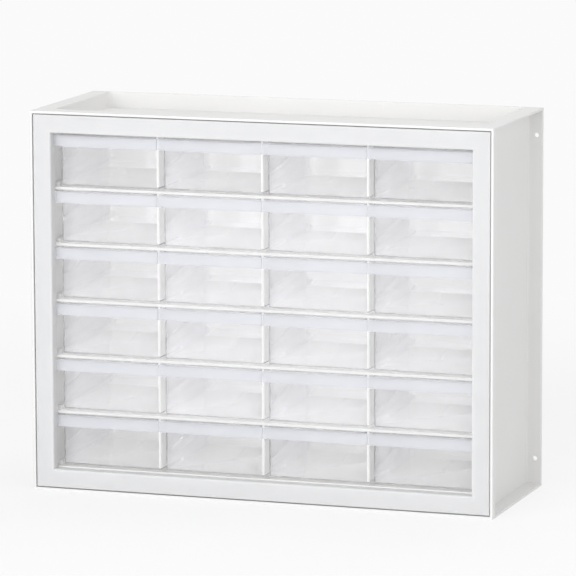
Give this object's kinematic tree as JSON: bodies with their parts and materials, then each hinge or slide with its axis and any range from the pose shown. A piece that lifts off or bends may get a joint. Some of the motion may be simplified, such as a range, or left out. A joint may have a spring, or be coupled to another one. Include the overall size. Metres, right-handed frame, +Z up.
{
  "type": "parts drawer cabinet",
  "caption": "White moulded parts cabinet with a grid of clear pull-out drawers, a tray in the top, recessed sides and a back flange with holes for the wall.",
  "frame": {"origin": "middle of the case's footprint, on the surface that it stands on", "axes": "+X to the right seen from the front, -Y to the front, +Z up"},
  "size_m": [0.496, 0.182, 0.396],
  "materials": {
    "case_plastic": "satin white",
    "frame_plastic": "satin white",
    "partition_plastic": "satin white",
    "clear_plastic": "clear gloss"
  },
  "bodies": {
    "cabinet": {"outer_case": "case_plastic", "front_frame": "frame_plastic", "divider_1": "partition_plastic", "divider_2": "partition_plastic", "divider_3": "partition_plastic", "shelf_1": "partition_plastic", "shelf_2": "partition_plastic", "shelf_3": "partition_plastic", "shelf_4": "partition_plastic", "shelf_5": "partition_plastic"},
    "drawer_r1_c1": {"drawer_r1_c1": "clear_plastic"},
    "drawer_r1_c2": {"drawer_r1_c2": "clear_plastic"},
    "drawer_r1_c3": {"drawer_r1_c3": "clear_plastic"},
    "drawer_r1_c4": {"drawer_r1_c4": "clear_plastic"},
    "drawer_r2_c1": {"drawer_r2_c1": "clear_plastic"},
    "drawer_r2_c2": {"drawer_r2_c2": "clear_plastic"},
    "drawer_r2_c3": {"drawer_r2_c3": "clear_plastic"},
    "drawer_r2_c4": {"drawer_r2_c4": "clear_plastic"},
    "drawer_r3_c1": {"drawer_r3_c1": "clear_plastic"},
    "drawer_r3_c2": {"drawer_r3_c2": "clear_plastic"},
    "drawer_r3_c3": {"drawer_r3_c3": "clear_plastic"},
    "drawer_r3_c4": {"drawer_r3_c4": "clear_plastic"},
    "drawer_r4_c1": {"drawer_r4_c1": "clear_plastic"},
    "drawer_r4_c2": {"drawer_r4_c2": "clear_plastic"},
    "drawer_r4_c3": {"drawer_r4_c3": "clear_plastic"},
    "drawer_r4_c4": {"drawer_r4_c4": "clear_plastic"},
    "drawer_r5_c1": {"drawer_r5_c1": "clear_plastic"},
    "drawer_r5_c2": {"drawer_r5_c2": "clear_plastic"},
    "drawer_r5_c3": {"drawer_r5_c3": "clear_plastic"},
    "drawer_r5_c4": {"drawer_r5_c4": "clear_plastic"},
    "drawer_r6_c1": {"drawer_r6_c1": "clear_plastic"},
    "drawer_r6_c2": {"drawer_r6_c2": "clear_plastic"},
    "drawer_r6_c3": {"drawer_r6_c3": "clear_plastic"},
    "drawer_r6_c4": {"drawer_r6_c4": "clear_plastic"}
  },
  "joints": [
    {"name": "drawer_r1_c1_slide", "type": "slide", "parent": "cabinet", "child": "drawer_r1_c1", "axis": [0, -1, 0], "range_m": [0, 0.11]},
    {"name": "drawer_r1_c2_slide", "type": "slide", "parent": "cabinet", "child": "drawer_r1_c2", "axis": [0, -1, 0], "range_m": [0, 0.11]},
    {"name": "drawer_r1_c3_slide", "type": "slide", "parent": "cabinet", "child": "drawer_r1_c3", "axis": [0, -1, 0], "range_m": [0, 0.11]},
    {"name": "drawer_r1_c4_slide", "type": "slide", "parent": "cabinet", "child": "drawer_r1_c4", "axis": [0, -1, 0], "range_m": [0, 0.11]},
    {"name": "drawer_r2_c1_slide", "type": "slide", "parent": "cabinet", "child": "drawer_r2_c1", "axis": [0, -1, 0], "range_m": [0, 0.11]},
    {"name": "drawer_r2_c2_slide", "type": "slide", "parent": "cabinet", "child": "drawer_r2_c2", "axis": [0, -1, 0], "range_m": [0, 0.11]},
    {"name": "drawer_r2_c3_slide", "type": "slide", "parent": "cabinet", "child": "drawer_r2_c3", "axis": [0, -1, 0], "range_m": [0, 0.11]},
    {"name": "drawer_r2_c4_slide", "type": "slide", "parent": "cabinet", "child": "drawer_r2_c4", "axis": [0, -1, 0], "range_m": [0, 0.11]},
    {"name": "drawer_r3_c1_slide", "type": "slide", "parent": "cabinet", "child": "drawer_r3_c1", "axis": [0, -1, 0], "range_m": [0, 0.11]},
    {"name": "drawer_r3_c2_slide", "type": "slide", "parent": "cabinet", "child": "drawer_r3_c2", "axis": [0, -1, 0], "range_m": [0, 0.11]},
    {"name": "drawer_r3_c3_slide", "type": "slide", "parent": "cabinet", "child": "drawer_r3_c3", "axis": [0, -1, 0], "range_m": [0, 0.11]},
    {"name": "drawer_r3_c4_slide", "type": "slide", "parent": "cabinet", "child": "drawer_r3_c4", "axis": [0, -1, 0], "range_m": [0, 0.11]},
    {"name": "drawer_r4_c1_slide", "type": "slide", "parent": "cabinet", "child": "drawer_r4_c1", "axis": [0, -1, 0], "range_m": [0, 0.11]},
    {"name": "drawer_r4_c2_slide", "type": "slide", "parent": "cabinet", "child": "drawer_r4_c2", "axis": [0, -1, 0], "range_m": [0, 0.11]},
    {"name": "drawer_r4_c3_slide", "type": "slide", "parent": "cabinet", "child": "drawer_r4_c3", "axis": [0, -1, 0], "range_m": [0, 0.11]},
    {"name": "drawer_r4_c4_slide", "type": "slide", "parent": "cabinet", "child": "drawer_r4_c4", "axis": [0, -1, 0], "range_m": [0, 0.11]},
    {"name": "drawer_r5_c1_slide", "type": "slide", "parent": "cabinet", "child": "drawer_r5_c1", "axis": [0, -1, 0], "range_m": [0, 0.11]},
    {"name": "drawer_r5_c2_slide", "type": "slide", "parent": "cabinet", "child": "drawer_r5_c2", "axis": [0, -1, 0], "range_m": [0, 0.11]},
    {"name": "drawer_r5_c3_slide", "type": "slide", "parent": "cabinet", "child": "drawer_r5_c3", "axis": [0, -1, 0], "range_m": [0, 0.11]},
    {"name": "drawer_r5_c4_slide", "type": "slide", "parent": "cabinet", "child": "drawer_r5_c4", "axis": [0, -1, 0], "range_m": [0, 0.11]},
    {"name": "drawer_r6_c1_slide", "type": "slide", "parent": "cabinet", "child": "drawer_r6_c1", "axis": [0, -1, 0], "range_m": [0, 0.11]},
    {"name": "drawer_r6_c2_slide", "type": "slide", "parent": "cabinet", "child": "drawer_r6_c2", "axis": [0, -1, 0], "range_m": [0, 0.11]},
    {"name": "drawer_r6_c3_slide", "type": "slide", "parent": "cabinet", "child": "drawer_r6_c3", "axis": [0, -1, 0], "range_m": [0, 0.11]},
    {"name": "drawer_r6_c4_slide", "type": "slide", "parent": "cabinet", "child": "drawer_r6_c4", "axis": [0, -1, 0], "range_m": [0, 0.11]}
  ]
}
